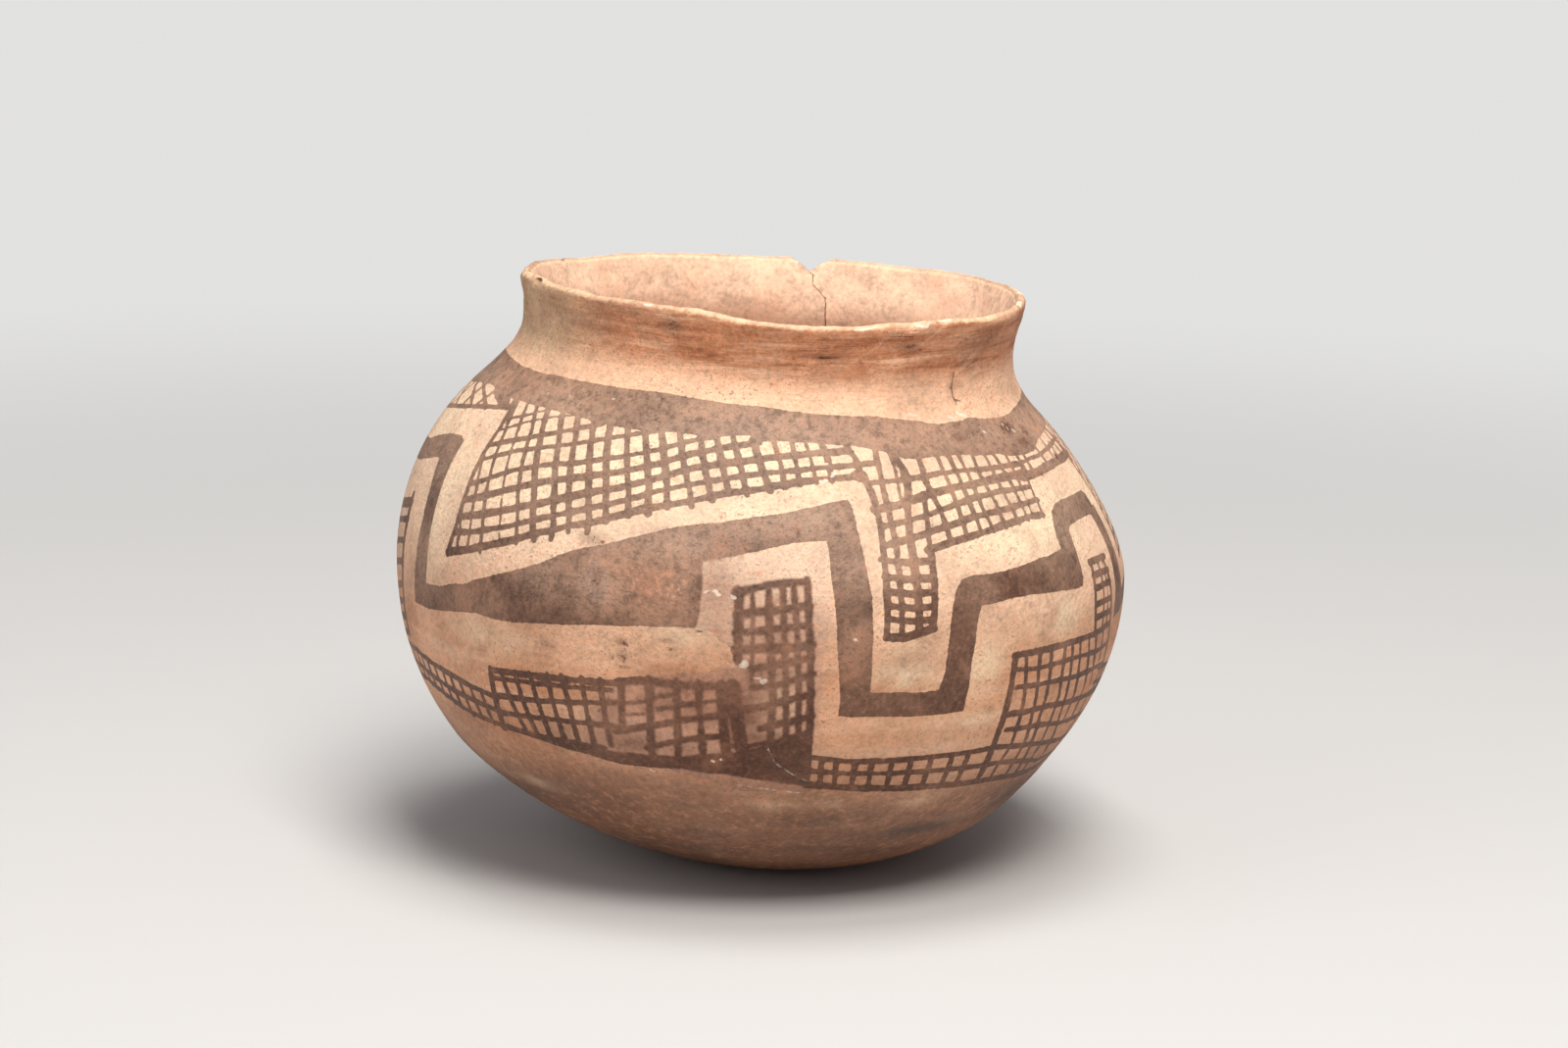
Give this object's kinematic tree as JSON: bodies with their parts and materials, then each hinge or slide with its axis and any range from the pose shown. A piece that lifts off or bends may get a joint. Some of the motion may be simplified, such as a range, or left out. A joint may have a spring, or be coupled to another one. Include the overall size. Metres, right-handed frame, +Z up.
{
  "type": "painted pottery jar",
  "caption": "Round-bottomed hand-built pottery jar with a short flared neck and painted hatched frets, mended from sherds with filled losses.",
  "frame": {"origin": "middle of the flat worn spot on the round bottom that the jar rests on", "axes": "+Z up, -Y towards the viewer of the picture, +X to the viewer's right"},
  "size_m": [0.19, 0.19, 0.1528],
  "materials": {
    "slipped_clay": "matt tan slip, hand-wiped, with worn grey-brown paint",
    "toned_plaster": "matt filler toned to match the slip and painted over in brown",
    "grey_filler": "matt grey filler, rubbed into the dark paint"
  },
  "bodies": {
    "root": {"body_and_base": "slipped_clay", "rim_sherd_back_left": "slipped_clay", "rim_sherd_back_right": "slipped_clay", "neck_sherd_right": "slipped_clay", "shoulder_sherd_front": "slipped_clay", "belly_sherd_left": "slipped_clay", "belly_sherd_right": "slipped_clay", "plaster_infill": "toned_plaster", "grey_plug_fill": "grey_filler"}
  },
  "joints": []
}
